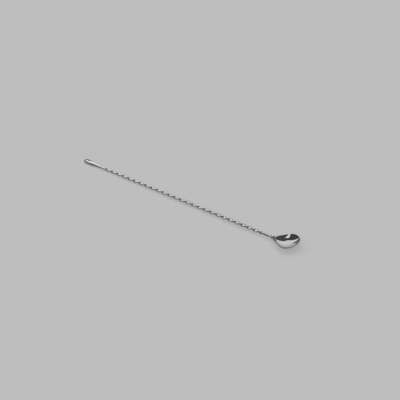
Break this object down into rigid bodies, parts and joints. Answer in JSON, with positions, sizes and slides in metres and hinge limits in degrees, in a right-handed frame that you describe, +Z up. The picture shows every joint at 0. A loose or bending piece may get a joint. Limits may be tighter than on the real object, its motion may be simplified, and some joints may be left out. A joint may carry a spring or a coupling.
{
  "type": "bar spoon",
  "caption": "Long slim bar spoon with a teardrop counterweight, a left-hand twisted shaft and a small oval stamped bowl, in polished stainless steel.",
  "frame": {"origin": "the middle of the bounding box's base, on the surface that the spoon lies on", "axes": "+X along the spoon from the counterweight to the tip of the bowl, +Z up out of the bowl's hollow, +Y across"},
  "size_m": [0.2999, 0.0264, 0.0128],
  "materials": {
    "polished_steel": "polished stainless steel",
    "weld_metal": "ground and polished weld",
    "braze_metal": "polished silver braze"
  },
  "bodies": {
    "root": {"bowl": "polished_steel", "neck_weld": "weld_metal", "twisted_shaft": "polished_steel", "weight": "polished_steel", "weight_braze": "braze_metal"}
  },
  "joints": []
}
